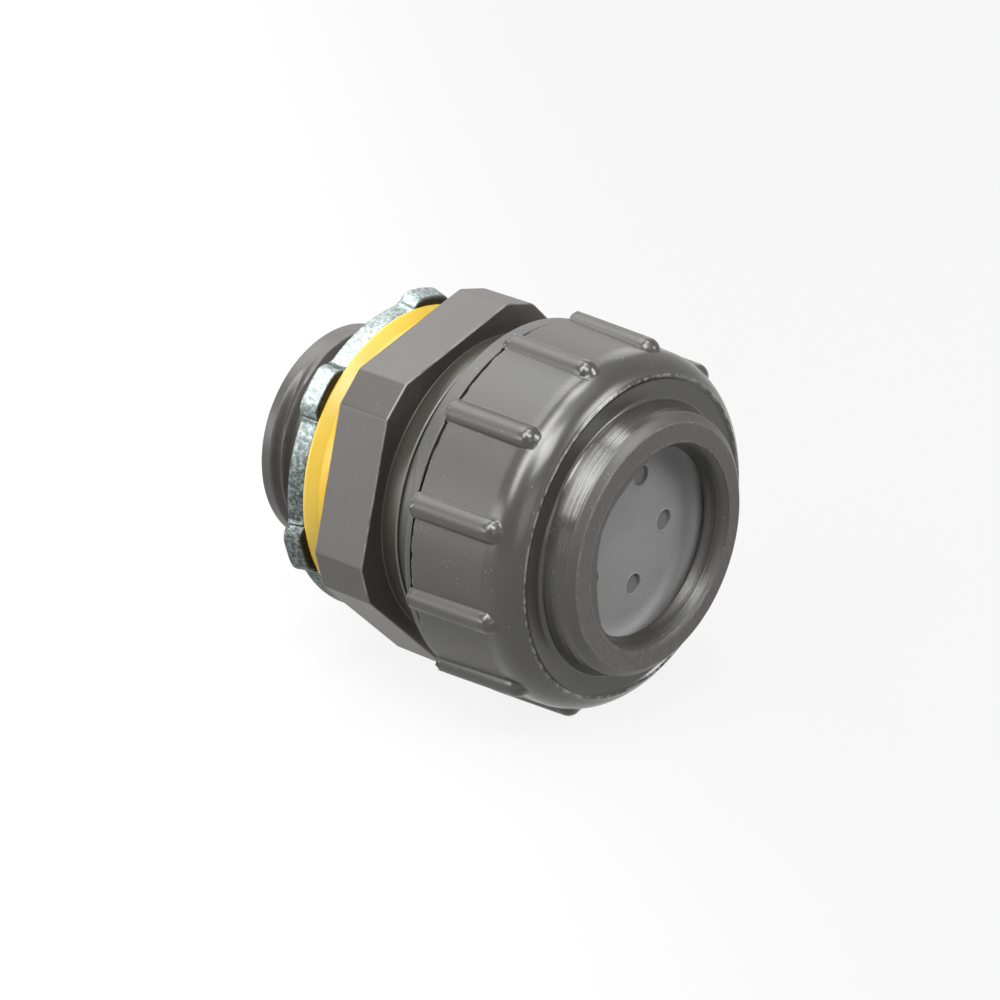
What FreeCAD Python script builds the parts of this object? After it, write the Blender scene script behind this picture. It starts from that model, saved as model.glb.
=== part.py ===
import FreeCAD
import Part
import Sketcher
import math
import os
from FreeCAD import Rotation, Vector

# A liquid-tight cord grip of 3/4 in trade size whose rubber grommet takes five thin cords.
# The axis lies along X with the cord mouth at +X. The origin is the centre of the flange's
# rear face, which faces the wall of the box. Every length is in millimetres.
# Angles round the axis are in degrees, from straight up towards -Y.

SIZES = {
    # Threaded hub
    "hub_length": 16.35,
    "hub_diameter": 26.4,
    "hub_wall": 2.8,
    "hub_edge": 0.5,
    # Six-sided flange with cut corners
    "flange_thickness": 7.27,
    "flange_width": 6.52,
    "flange_corner_cut": 1.34,
    "flange_turn": 14.83,
    # Neck that carries the compression nut
    "neck_root_step": 0.12,
    "neck_shoulder_flare": 0.3,
    "neck_shoulder_length": 2.55,
    "neck_length": 15.0,
    "neck_wall": 1.3,
    "neck_edge": 0.4,
    # Cup in the neck that holds the grommet
    "cup_floor": 9.0,
    "cup_clearance": 0.1,
    "cup_taper": 1.9,
    "cup_taper_length": 3.0,
    # Sealing ring
    "ring_clearance": 0.1,
    "ring_wall": 4.35,
    "ring_neck_length": 2.8,
    "ring_flare_length": 1.3,
    "ring_flare": 0.8,
    "ring_lip_length": 0.3,
    # Locknut
    "locknut_thickness": 2.35,
    "locknut_clearance": 0.06,
    "locknut_width": 5.14,
    "lug_height": 1.2,
    "lug_width": 6.9,
    "lug_corner": 0.55,
    "lug_count": 6,
    "lug_turn": 48.0,
    # Rubber grommet
    "grommet_diameter": 29.0,
    "grommet_rim_height": 1.03,
    "grommet_face_height": 4.3,
    "grommet_face_step": 0.5,
    "grommet_edge": 0.3,
    "cord_hole": 2.4,
    "cord_circle": 13.7,
    "cord_count": 5,
    "cord_turn": 49.1,
    "cord_skin": 0.6,
    "cord_dimple": 0.4,
    # Slip washer
    "washer_thickness": 1.1,
    "washer_play": 0.05,
    "washer_inner_play": 0.25,
    "washer_outer_play": 0.26,
    "squeeze_travel": 1.6,
    # Compression nut
    "nut_gap": 3.58,
    "nut_wall": 3.6,
    "nut_clearance": 0.06,
    "lip_step": 0.4,
    "lip_length": 1.5,
    "skirt_draft": 0.55,
    "crown_length": 3.5,
    "crown_fall": 2.2,
    "crown_setback": 3.56,
    "crown_recess": 0.3,
    "pocket_play": 0.2,
    "collar_foot": 0.7,
    "collar_wall": 1.6,
    "collar_draft": 0.6,
    "face_bevel_width": 0.92,
    "face_bevel_length": 1.15,
    "mouth_room": 2.3,
    "mouth_depth": 2.7,
    "mouth_lip": 3.1,
    "mouth_flare": 0.9,
    "mouth_flare_length": 0.55,
    "rib_count": 12,
    "rib_turn": 11.5,
    "rib_radius": 1.55,
    "rib_height": 0.9,
    "rib_draft": 0.42,
    "rib_overhang": 0.35,
    "rib_setback": 2.44,
}

# The crown's rounding as shares of its length and of its fall.
CROWN = ((0.0, 0.0), (0.302, 0.087), (0.581, 0.292), (0.819, 0.604), (1.0, 1.0))


class Size:
    """A size as its present number and the formula over the sheet that gives it."""

    def __init__(self, number, text):
        self.number = number
        self.text = text

    def join(self, other, sign, number):
        return Size(number, f"({self.text} {sign} {as_size(other).text})")

    def __add__(self, other):
        return self.join(other, "+", self.number + as_size(other).number)

    def __sub__(self, other):
        return self.join(other, "-", self.number - as_size(other).number)

    def __mul__(self, other):
        return self.join(other, "*", self.number * as_size(other).number)

    def __truediv__(self, other):
        return self.join(other, "/", self.number / as_size(other).number)

    def __neg__(self):
        return Size(-self.number, f"(0 - {self.text})")


def as_size(thing):
    """A plain number as a Size, and a Size as it is."""
    return thing if isinstance(thing, Size) else Size(float(thing), f"{float(thing):.9f}")


document = FreeCAD.newDocument("CordGrip")
sheet = document.addObject("Spreadsheet::Sheet", "Sizes")
for row, (name, number) in enumerate(SIZES.items(), start=1):
    sheet.set(f"A{row}", name)
    sheet.set(f"B{row}", str(number))
    sheet.setAlias(f"B{row}", name)
document.recompute()


def cell(name):
    """One named cell of the sheet as a Size."""
    return Size(float(sheet.get(name)), "Sizes." + name)


def half(name):
    """Half of a named diameter."""
    return cell(name) / 2


def bind(thing, attribute, amount):
    """Set a property of an object and tie it to the sheet."""
    thing.setExpression(attribute, as_size(amount).text)


def new_body(label):
    """An empty body that carries one sub-part of this label."""
    body = document.addObject("PartDesign::Body", label)
    body.Label = label
    return body


def plane_of(body, role):
    """One of the body's own origin planes."""
    return next(item for item in body.Origin.OriginFeatures if item.Role == role)


def new_sketch(body, name, role, offset=0.0, turn=0.0, about=Vector(0, 0, 1)):
    """A sketch on an origin plane, moved out along its normal and turned about an axis."""
    sketch = body.newObject("Sketcher::SketchObject", name)
    sketch.AttachmentSupport = [(plane_of(body, role), "")]
    sketch.MapMode = "FlatFace"
    shift, angle = as_size(offset), as_size(turn)
    sketch.AttachmentOffset = FreeCAD.Placement(
        Vector(0, 0, shift.number), Rotation(about, angle.number or 1.0)
    )
    bind(sketch, "AttachmentOffset.Base.z", shift)
    bind(sketch, "AttachmentOffset.Rotation.Angle", angle)
    return sketch


def hold(sketch, kind, *places, amount):
    """Add a dimension to the sketch and tie it to the sheet."""
    index = sketch.addConstraint(Sketcher.Constraint(kind, *places, amount.number))
    bind(sketch, f"Constraints[{index}]", amount)


def pin_point(sketch, edge, end, across, up):
    """Fix one end of an edge at a place measured from the sketch's origin."""
    for kind, axis, amount in (("DistanceX", -2, across), ("DistanceY", -1, up)):
        amount = as_size(amount)
        if abs(amount.number) < 1e-9:
            sketch.addConstraint(Sketcher.Constraint("PointOnObject", edge, end, axis))
        else:
            hold(sketch, kind, -1, 1, edge, end, amount=amount)


def arc_between(start, end, radius):
    """An arc of a signed radius: a positive one bulges to the right of the way it runs."""
    chord = end - start
    middle = (start + end) / 2
    rise = math.sqrt(radius**2 - (chord.Length / 2) ** 2)
    left = Vector(-chord.y, chord.x, 0) / chord.Length
    centre = middle + left * math.copysign(rise, radius)
    first, last = (start, end) if radius > 0 else (end, start)
    angles = [math.atan2(p.y - centre.y, p.x - centre.x) for p in (first, last)]
    if angles[1] < angles[0]:
        angles[1] += 2 * math.pi
    circle = Part.Circle(centre, Vector(0, 0, 1), abs(radius))
    return Part.ArcOfCircle(circle, *angles)


def draw_outline(sketch, points, arcs=None):
    """A closed outline through points of two Sizes; arcs gives the radius of curved edges."""
    arcs = arcs or {}
    places = [Vector(as_size(a).number, as_size(b).number, 0) for a, b in points]
    ends = []
    for index, start in enumerate(places):
        end = places[(index + 1) % len(places)]
        if index in arcs:
            edge = sketch.addGeometry(arc_between(start, end, arcs[index].number))
            ends.append((edge, 1, 2) if arcs[index].number > 0 else (edge, 2, 1))
        else:
            edge = sketch.addGeometry(Part.LineSegment(start, end))
            ends.append((edge, 1, 2))
    for index, (edge, start, _) in enumerate(ends):
        before, _, end = ends[index - 1]
        sketch.addConstraint(Sketcher.Constraint("Coincident", before, end, edge, start))
    for (edge, start, _), (across, up) in zip(ends, points):
        pin_point(sketch, edge, start, across, up)
    for index, radius in arcs.items():
        magnitude = radius if radius.number > 0 else -radius
        hold(sketch, "Radius", ends[index][0], amount=magnitude)


def spin(body, kind, sketch, axis="H_Axis"):
    """A full turn of a sketch about an axis: a Revolution adds and a Groove cuts."""
    feature = body.newObject("PartDesign::" + kind, sketch.Name + "_" + kind.lower())
    feature.Profile = sketch
    feature.ReferenceAxis = (sketch, [axis])
    feature.Angle = 360.0
    sketch.Visibility = False
    document.recompute()
    return feature


def turned(body, kind, name, points, arcs=None):
    """A turned form about the X axis from an outline of stations along X and radii."""
    sketch = new_sketch(body, name, "XZ_Plane")
    draw_outline(sketch, points, arcs)
    return spin(body, kind, sketch)


def pad(body, sketch, length):
    """A pad along the sketch's normal."""
    feature = body.newObject("PartDesign::Pad", sketch.Name + "_pad")
    feature.Profile = sketch
    bind(feature, "Length", length)
    document.recompute()
    return feature


def pocket(body, sketch, depth, forward=False):
    """A pocket against the sketch's normal, or along it."""
    feature = body.newObject("PartDesign::Pocket", sketch.Name + "_pocket")
    feature.Profile = sketch
    feature.Reversed = forward
    bind(feature, "Length", depth)
    document.recompute()
    return feature


def around(body, name, features, count, axis):
    """Repeat features evenly round the X axis."""
    pattern = body.newObject("PartDesign::PolarPattern", name)
    pattern.Originals = features
    pattern.Axis = axis
    pattern.Angle = 360.0
    bind(pattern, "Occurrences", count)
    body.Tip = pattern
    document.recompute()
    return pattern


def draw_circle(sketch, diameter, height=0.0):
    """A circle on the sketch's vertical axis."""
    diameter, height = as_size(diameter), as_size(height)
    centre = Vector(0, height.number, 0)
    circle = Part.Circle(centre, Vector(0, 0, 1), diameter.number / 2)
    edge = sketch.addGeometry(circle)
    pin_point(sketch, edge, 3, 0.0, height)
    hold(sketch, "Diameter", edge, amount=diameter)


hub_radius = half("hub_diameter")
flange_flat = hub_radius + cell("flange_width")
flange_front = cell("flange_thickness")
shoulder_front = flange_front + cell("neck_shoulder_length")
neck_front = flange_front + cell("neck_length")
cup_wall = half("grommet_diameter") + cell("cup_clearance")
cup_mouth = cup_wall + cell("cup_taper")
cup_taper_start = neck_front - cell("cup_taper_length")
neck_radius = cup_mouth + cell("neck_wall")
ring_rear = -cell("ring_neck_length") - cell("ring_flare_length") - cell("ring_lip_length")
grommet_shoulder = neck_front + cell("grommet_rim_height")
grommet_face = grommet_shoulder + cell("grommet_face_height")
face_radius = half("grommet_diameter") - cell("grommet_face_step")
nut_bore = neck_radius + cell("nut_clearance")
washer_room = cell("washer_thickness") + cell("washer_play")
nut_seat = grommet_shoulder + cell("squeeze_travel") + washer_room


def flange_outline():
    """The twelve corners of the flange: two at each cut corner of a hexagon."""
    slant = math.radians(30)
    corner = flange_flat / math.cos(slant) - cell("flange_corner_cut")
    run = (corner - flange_flat * math.cos(slant)) / math.sin(slant)
    points = []
    for side in range(6):
        angle = math.radians(60 * side)
        out = (-math.sin(angle), math.cos(angle))
        along = (-math.cos(angle), -math.sin(angle))
        for way in (-1, 1):
            points.append(
                tuple(flange_flat * out[k] + run * (way * along[k]) for k in (0, 1))
            )
    return points


def make_gland_body():
    """The moulded body: threaded hub, six-sided flange and round neck, bored right through."""
    body = new_body("gland_body")
    edge = cell("hub_edge")
    hub_end = -cell("hub_length")
    tip = cell("neck_edge")
    root = neck_radius + cell("neck_root_step")
    turned(
        body,
        "Revolution",
        "outside",
        [
            (hub_end, 0.0),
            (hub_end, hub_radius - edge),
            (hub_end + edge, hub_radius),
            (0.0, hub_radius),
            (0.0, root),
            (flange_front, root),
            (shoulder_front, root + cell("neck_shoulder_flare")),
            (shoulder_front, neck_radius),
            (neck_front - tip, neck_radius),
            (neck_front, neck_radius - tip),
            (neck_front, 0.0),
        ],
    )
    outline = new_sketch(body, "flange", "YZ_Plane", 0.0, cell("flange_turn"))
    draw_outline(outline, flange_outline())
    pad(body, outline, flange_front)

    bore = hub_radius - cell("hub_wall")
    cup_floor = cell("cup_floor")
    spare = 1.0
    turned(
        body,
        "Groove",
        "passage",
        [
            (hub_end - spare, 0.0),
            (hub_end - spare, bore + edge + spare),
            (hub_end + edge, bore),
            (cup_floor, bore),
            (cup_floor, cup_wall),
            (cup_taper_start, cup_wall),
            (neck_front, cup_mouth),
            (neck_front + spare, cup_mouth),
            (neck_front + spare, 0.0),
        ],
    )
    return body


def make_sealing_ring():
    """The soft ring that seals the flange to the wall, with a flared lip at its rear."""
    body = new_body("sealing_ring")
    inner = hub_radius + cell("ring_clearance")
    outer = inner + cell("ring_wall")
    lip = outer + cell("ring_flare")
    turned(
        body,
        "Revolution",
        "ring",
        [
            (0.0, inner),
            (0.0, outer),
            (-cell("ring_neck_length"), outer),
            (ring_rear + cell("ring_lip_length"), lip),
            (ring_rear, lip),
            (ring_rear, inner),
        ],
    )
    return body


def make_lock_nut():
    """The stamped steel locknut with lugs round its rim, seated on the sealing ring."""
    body = new_body("lock_nut")
    rear = ring_rear - cell("locknut_thickness")
    bore = hub_radius + cell("locknut_clearance")
    rim = bore + cell("locknut_width")
    disc = new_sketch(body, "disc", "YZ_Plane", rear)
    draw_circle(disc, rim * 2)
    draw_circle(disc, bore * 2)
    pad(body, disc, cell("locknut_thickness"))

    lug = new_sketch(body, "lug", "YZ_Plane", rear, cell("lug_turn"))
    reach, side, corner = rim + cell("lug_height"), half("lug_width"), cell("lug_corner")
    root = rim - cell("lug_height")
    inner = side - corner
    rise = math.sqrt(reach.number**2 - inner.number**2)
    top = Size(rise, f"sqrt({reach.text} ^ 2 - {inner.text} ^ 2)")
    draw_outline(
        lug,
        [
            (-side, root),
            (side, root),
            (side, top - corner),
            (inner, top),
            (-inner, top),
            (-side, top - corner),
        ],
        {3: reach},
    )
    lug_pad = pad(body, lug, cell("locknut_thickness"))
    around(body, "lugs", [lug_pad], cell("lug_count"), (lug, ["N_Axis"]))
    return body


def make_grommet():
    """The rubber grommet: a tapered plug with blind cord holes closed by thin skins."""
    body = new_body("grommet")
    floor, wall = cell("cup_floor"), half("grommet_diameter")
    rim = cup_mouth - cell("cup_clearance")
    edge = cell("grommet_edge")
    turned(
        body,
        "Revolution",
        "plug",
        [
            (floor, 0.0),
            (floor, wall - edge),
            (floor + edge, wall),
            (cup_taper_start, wall),
            (neck_front, rim),
            (grommet_shoulder, rim),
            (grommet_shoulder, face_radius),
            (grommet_face - edge, face_radius),
            (grommet_face, face_radius - edge),
            (grommet_face, 0.0),
        ],
    )
    circle = half("cord_circle")
    turn = cell("cord_turn")
    hole = new_sketch(body, "cord_hole_rear", "YZ_Plane", floor, turn)
    draw_circle(hole, cell("cord_hole"), circle)
    depth = grommet_face - floor - cell("cord_dimple") - cell("cord_skin")
    bored = pocket(body, hole, depth, forward=True)
    dimple = new_sketch(body, "cord_dimple_front", "YZ_Plane", grommet_face, turn)
    draw_circle(dimple, cell("cord_hole"), circle)
    sunk = pocket(body, dimple, cell("cord_dimple"))
    around(body, "cord_holes", [bored, sunk], cell("cord_count"), (hole, ["N_Axis"]))
    return body


def make_slip_washer():
    """The washer that keeps the turning nut from dragging the grommet round."""
    body = new_body("slip_washer")
    front = nut_seat - cell("washer_play")
    rear = front - cell("washer_thickness")
    inner = face_radius + cell("washer_inner_play")
    outer = nut_bore - cell("washer_outer_play")
    turned(
        body,
        "Revolution",
        "washer",
        [(rear, inner), (rear, outer), (front, outer), (front, inner)],
    )
    return body


def make_compression_nut():
    """The hand nut: a ribbed skirt, a domed crown and a collar round the cord mouth."""
    body = new_body("compression_nut")
    rear = shoulder_front + cell("nut_gap")
    lip_end = rear + cell("lip_length")
    mouth_rear = grommet_face + cell("mouth_room")
    front = mouth_rear + cell("mouth_depth")
    crown = front - cell("crown_setback")
    collar_rear = crown - cell("crown_recess")
    skirt = nut_bore + cell("nut_wall")
    pocket_wall = face_radius + cell("pocket_play")
    collar = pocket_wall + cell("collar_wall")
    collar_tip = collar - cell("collar_draft")
    mouth = pocket_wall - cell("mouth_lip")
    shoulder = skirt - cell("skirt_draft")
    length, fall = cell("crown_length"), cell("crown_fall")
    outline = [
        (rear, nut_bore),
        (rear, skirt - cell("lip_step")),
        (lip_end, skirt - cell("lip_step")),
        (lip_end, skirt),
        *((crown - length * (1 - along), shoulder - fall * down) for along, down in CROWN),
        (collar_rear, collar + cell("collar_foot")),
        (collar_rear + cell("collar_foot"), collar),
        (front - cell("face_bevel_length"), collar_tip),
        (front, collar_tip - cell("face_bevel_width")),
        (front, mouth + cell("mouth_flare")),
        (front - cell("mouth_flare_length"), mouth),
        (mouth_rear, mouth),
        (mouth_rear, pocket_wall),
        (nut_seat, pocket_wall),
        (nut_seat, nut_bore),
    ]
    turned(body, "Revolution", "shell", outline)

    rib = new_sketch(body, "rib", "XZ_Plane", 0.0, cell("rib_turn"), Vector(1, 0, 0))
    radius = cell("rib_radius")
    low = skirt + cell("rib_height") - radius
    start = lip_end - cell("rib_overhang")
    end = crown - cell("rib_setback")
    low_front = low - cell("rib_draft")
    draw_outline(
        rib,
        [
            (start, low),
            (end, low_front),
            (end, low_front + radius * 0.45),
            (end - radius * 0.8, low_front + radius),
            (start, low + radius),
        ],
    )
    axis = sketch_axis(rib, (start, low), (end, low_front))
    rib_turned = spin(body, "Revolution", rib, axis)
    around(body, "ribs", [rib_turned], cell("rib_count"), (rib, ["H_Axis"]))
    return body


def sketch_axis(sketch, start, end):
    """A construction line in a sketch, and the name that a feature calls it by."""
    first, last = (Vector(x.number, height.number, 0) for x, height in (start, end))
    edge = sketch.addGeometry(Part.LineSegment(first, last), True)
    pin_point(sketch, edge, 1, *start)
    pin_point(sketch, edge, 2, *end)
    return "Axis0"


bodies = [
    make_gland_body(),
    make_sealing_ring(),
    make_lock_nut(),
    make_grommet(),
    make_slip_washer(),
    make_compression_nut(),
]
document.recompute()

for thing in document.Objects:
    if "Invalid" in thing.State or "Error" in thing.State:
        raise RuntimeError(f"{thing.Name} failed: {thing.State}")
os.makedirs("parts", exist_ok=True)
for body in bodies:
    shape = body.Shape
    if shape.isNull() or not shape.isValid() or len(shape.Solids) != 1:
        raise RuntimeError(f"{body.Label} is not one valid solid")
    print(f"{body.Label}: {shape.Volume:.1f} mm3, {shape.BoundBox}")
for body in bodies:
    body.Shape.exportStep(os.path.join("parts", body.Label + ".step"))
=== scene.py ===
import math

import bpy
import numpy as np
from mathutils import Matrix, Vector


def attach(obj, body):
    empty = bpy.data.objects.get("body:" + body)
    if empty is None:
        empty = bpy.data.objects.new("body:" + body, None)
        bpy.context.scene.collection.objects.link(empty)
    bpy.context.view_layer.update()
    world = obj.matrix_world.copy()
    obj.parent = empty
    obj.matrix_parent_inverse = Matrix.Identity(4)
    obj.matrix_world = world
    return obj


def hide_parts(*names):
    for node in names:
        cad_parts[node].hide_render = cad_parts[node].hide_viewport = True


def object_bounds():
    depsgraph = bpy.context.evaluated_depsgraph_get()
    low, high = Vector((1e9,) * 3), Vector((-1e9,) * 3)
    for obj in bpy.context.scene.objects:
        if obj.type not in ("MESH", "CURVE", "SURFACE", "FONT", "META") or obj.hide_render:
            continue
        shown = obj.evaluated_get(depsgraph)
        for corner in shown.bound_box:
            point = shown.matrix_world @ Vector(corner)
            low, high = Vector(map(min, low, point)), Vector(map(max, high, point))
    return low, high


bl_info = {
    "name": "Cord grip finisher",
    "version": (1, 0, 0),
    "blender": (4, 5, 0),
    "location": "View3D > Sidebar > Cord grip",
    "description": "Builds the finished pieces of a multi-hole cord grip over its solid frame",
    "category": "Object",
}

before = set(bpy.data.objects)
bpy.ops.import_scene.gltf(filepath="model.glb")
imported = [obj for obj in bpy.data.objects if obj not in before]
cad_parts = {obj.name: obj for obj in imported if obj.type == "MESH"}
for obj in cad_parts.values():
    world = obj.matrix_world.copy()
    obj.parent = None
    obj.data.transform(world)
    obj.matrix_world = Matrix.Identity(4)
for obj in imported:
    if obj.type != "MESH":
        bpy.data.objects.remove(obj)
CAD_BOX = [list(corner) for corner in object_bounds()]

# Lengths in the shape functions are millimetres and angles are degrees, measured round the
# axis from straight up towards -Y. The meshes are in metres, and so are the coordinates that
# the materials read.
MM = 0.001
PER_METRE = 1000.0
TURN = 360.0


def length(label, note, millimetres):
    """A length property with its default in millimetres."""
    return bpy.props.FloatProperty(
        name=label,
        description=note,
        default=millimetres * MM,
        min=0.0,
        precision=5,
        unit="LENGTH",
    )


def angle(label, note, degrees):
    """An angle property with its default in degrees."""
    return bpy.props.FloatProperty(
        name=label, description=note, default=math.radians(degrees), subtype="ANGLE"
    )


def share(label, note, value, top=1.0):
    """A plain factor property."""
    return bpy.props.FloatProperty(name=label, description=note, default=value, min=0.0, max=top)


def tint(label, note, colour):
    """A colour property."""
    return bpy.props.FloatVectorProperty(
        name=label, description=note, default=colour, size=3, min=0.0, max=1.0, subtype="COLOR"
    )


class GripThread(bpy.types.PropertyGroup):
    """Sizes of the hub and its thread."""

    crest_radius: length("Crest radius", "Radius over the crests of the hub's thread", 13.2)
    pitch: length("Pitch", "Distance from one turn of the thread to the next", 1.814)
    depth: length("Groove depth", "Depth of the thread's groove", 1.05)
    half_width: length("Groove half width", "Half the groove's width at the crests", 0.83)
    start: length("Groove start", "Distance behind the flange at which the groove starts", 14.3)
    fade_from: angle("Fade from", "Angle at which the groove starts to sink in", 22.0)
    fade_over: angle("Fade over", "Angle over which it reaches its full depth", 42.0)


class GripFlange(bpy.types.PropertyGroup):
    """Sizes of the flange and the neck."""

    flat_radius: length("Flat radius", "Distance from the axis to a flat", 19.72)
    corner_radius: length("Corner radius", "Distance from the axis to a cut corner", 21.43)
    turn: angle("Turn", "Angle of the first flat", 14.83)
    thickness: length("Thickness", "Thickness of the flange", 7.27)


class GripNut(bpy.types.PropertyGroup):
    """Sizes of the compression nut."""

    skirt_radius: length("Skirt radius", "Radius of the skirt's rear edge", 21.46)
    skirt_draft: length("Skirt draft", "How much narrower the skirt's front is", 0.55)
    rib_radius: length("Rib radius", "Radius of a rib's rounded back", 1.55)
    rib_height: length("Rib height", "Height of a rib over the skirt's rear edge", 0.9)
    rib_draft: length("Rib draft", "How much lower a rib's front end is", 0.42)
    rib_turn: angle("Rib turn", "Angle of the first rib", 11.5)
    burr: length("Burr", "Unevenness of the trimmed edges", 0.08)
    tongue: length("Tongue", "How far the lip's upper part reaches back", 1.2)
    mouth_shift: length("Mouth shift", "How far the mouth lies off the axis", 0.45)


class GripLocknut(bpy.types.PropertyGroup):
    """Sizes of the locknut and the sealing ring."""

    rim_radius: length("Rim radius", "Radius of the locknut between the lugs", 18.4)
    lug_radius: length("Lug radius", "Radius over the lugs", 19.7)
    lug_half_width: length("Lug half width", "Half the width of a lug", 3.55)
    slant: length("Slant", "How much narrower the front of the rim is", 0.6)
    lug_turn: angle("Lug turn", "Angle of the first lug", 48.0)


class GripGrommet(bpy.types.PropertyGroup):
    """Sizes of the rubber grommet."""

    hole_radius: length("Hole radius", "Radius of a cord hole", 1.2)
    hole_circle: length("Hole circle", "Radius of the circle of cord holes", 6.85)
    hole_turn: angle("Hole turn", "Angle of the first cord hole", 49.1)
    dimple: length("Dimple", "Depth of the dimple over a closed hole", 0.4)


class GripColours(bpy.types.PropertyGroup):
    """Colours of the finishes."""

    body: tint("Body", "Moulded body", (0.025, 0.0213, 0.017))
    nut: tint("Nut", "Compression nut", (0.023, 0.0222, 0.0196))
    rubber: tint("Rubber", "Grommet", (0.16, 0.161, 0.16))
    amber: tint("Amber", "Sealing ring", (0.44, 0.275, 0.003))
    zinc: tint("Zinc", "Locknut", (0.24, 0.285, 0.28))
    nylon: tint("Nylon", "Slip washer", (0.72, 0.71, 0.67))


class GripStage(bpy.types.PropertyGroup):
    """Strengths of the studio's lights."""

    lamps: share("Lamps", "Brightness of all the lamps", 1.0, 10.0)
    fill: share("Fill", "The even light from all round", 0.1, 10.0)
    sheet: share("Sheet", "Lightness of the floor on the lamps' side", 0.6)


GROUPS = {
    "grip_thread": GripThread,
    "grip_flange": GripFlange,
    "grip_nut": GripNut,
    "grip_locknut": GripLocknut,
    "grip_grommet": GripGrommet,
    "grip_colours": GripColours,
    "grip_stage": GripStage,
}


def mm(value):
    """A length property's value in millimetres."""
    return value / MM


# Shapes


def smooth(low, high, value):
    """Rises from 0 to 1 between low and high as 3t squared less 2t cubed."""
    t = np.clip((value - low) / (high - low), 0.0, 1.0)
    return t * t * (3.0 - 2.0 * t)


def larger(first, second, blend):
    """The larger of two heights, with the crease between them rounded over about blend."""
    return 0.5 * (first + second + np.sqrt((first - second) ** 2 + blend**2))


def hump(value, middle, spread):
    """A bell of height 1 at the middle: exp of minus the square of the distance over spread."""
    return np.exp(-(((value - middle) / spread) ** 2))


def sparse(part, every):
    """Which rows to keep: all outside a part, and inside it one in every so many."""
    return ~part | (np.arange(len(part)) % every == 0)


def swept(centre, first, last, sweep, count):
    """An arc in count parts: the centre plus (sin((1 - t) s) first + sin(t s) last) / sin s."""
    t = np.linspace(0.0, 1.0, count + 1)[:, None]
    arc = np.sin((1.0 - t) * sweep) * first + np.sin(t * sweep) * last
    return centre + arc / math.sin(sweep)


def contour(corners, step, loop=True):
    """Stations and radii along a profile whose corners are rounded.

    Each corner is (x, r, rounding). A corner becomes an arc that is tangent to both of its
    sides, and a straight side is divided into even parts no longer than step.
    """
    arc_step = 0.26
    spots = np.array([corner[:2] for corner in corners], float)
    before = np.roll(spots, 1, axis=0) - spots
    after = np.roll(spots, -1, axis=0) - spots
    runs = []
    for i, corner in enumerate(corners):
        radius = corner[2]
        inner = loop or 0 < i < len(corners) - 1
        if radius <= 0.0 or not inner:
            runs.append(spots[i : i + 1])
            continue
        u = before[i] / np.linalg.norm(before[i])
        v = after[i] / np.linalg.norm(after[i])
        half = 0.5 * math.acos(float(np.clip(u @ v, -1.0, 1.0)))
        middle = (u + v) / np.linalg.norm(u + v)
        centre = spots[i] + middle * radius / math.sin(half)
        first = spots[i] + u * radius / math.tan(half) - centre
        last = spots[i] + v * radius / math.tan(half) - centre
        sweep = math.pi - 2.0 * half
        count = max(3, int(math.ceil(sweep / arc_step)))
        runs.append(swept(centre, first, last, sweep, count))
    path = []
    ends = len(runs) if loop else len(runs) - 1
    for i in range(ends):
        path.append(runs[i])
        start, end = runs[i][-1], runs[(i + 1) % len(runs)][0]
        parts = int(math.ceil(np.linalg.norm(end - start) / step))
        if parts > 1:
            t = np.linspace(0.0, 1.0, parts + 1)[1:-1, None]
            path.append(start + (end - start) * t)
    if not loop:
        path.append(runs[-1])
    path = np.vstack(path)
    return path[:, 0], path[:, 1]


def arc_points(start, end, radius, count):
    """Points of a profile's arc from start to end, without its end.

    The centre lies to the right of the way from start to end for a positive radius.
    """
    start, end = np.array(start, float), np.array(end, float)
    chord = end - start
    reach = np.linalg.norm(chord)
    right = np.array([chord[1], -chord[0]]) / reach
    rise = math.copysign(math.sqrt(radius**2 - reach**2 / 4.0), radius)
    centre = (start + end) / 2.0 + right * rise
    first, last = start - centre, end - centre
    sweep = math.acos(float(np.clip(first @ last / radius**2, -1.0, 1.0)))
    return [(x, r, 0.0) for x, r in swept(centre, first, last, sweep, count)[:-1]]


def turned(stations, radii, angles):
    """Points of a turned surface: (x, -r sin angle, r cos angle) for each station and angle."""
    around = np.radians(angles)[None, :]
    radii = radii if radii.ndim == 2 else radii[:, None]
    radii = np.broadcast_to(radii, (len(radii), around.size))
    stations = stations if stations.ndim == 2 else stations[:, None]
    stations = np.broadcast_to(stations, radii.shape)
    return np.stack([stations, -radii * np.sin(around), radii * np.cos(around)], axis=-1)


def off_centre(angles, centre, count):
    """Signed degrees from each angle to the nearest of count centres spaced evenly."""
    pitch = TURN / count
    return (angles - centre + pitch / 2.0) % pitch - pitch / 2.0


def fan(count, centre, offsets, spare):
    """Angles for the columns of a grid.

    They are offsets either side of count even centres, with spare even columns between.
    """
    offsets = np.unique(np.concatenate([-np.asarray(offsets), np.asarray(offsets)]))
    gap = TURN / count - 2.0 * offsets[-1]
    between = offsets[-1] + gap * np.arange(1, spare + 1) / (spare + 1)
    one = np.concatenate([offsets, between])
    every = centre + TURN / count * np.arange(count)[:, None] + one[None, :]
    return np.sort(every.ravel() % TURN)


def ripple(angles, seed, slowest, fastest, terms):
    """An uneven line round the axis between about -1 and 1: a sum of seeded sines."""
    random = np.random.default_rng(seed)
    turns = random.integers(slowest, fastest, terms)
    phases = random.uniform(0.0, 2.0 * math.pi, terms)
    waves = np.sin(np.radians(angles)[:, None] * turns + phases)
    return waves.sum(axis=1) / math.sqrt(terms)


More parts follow.
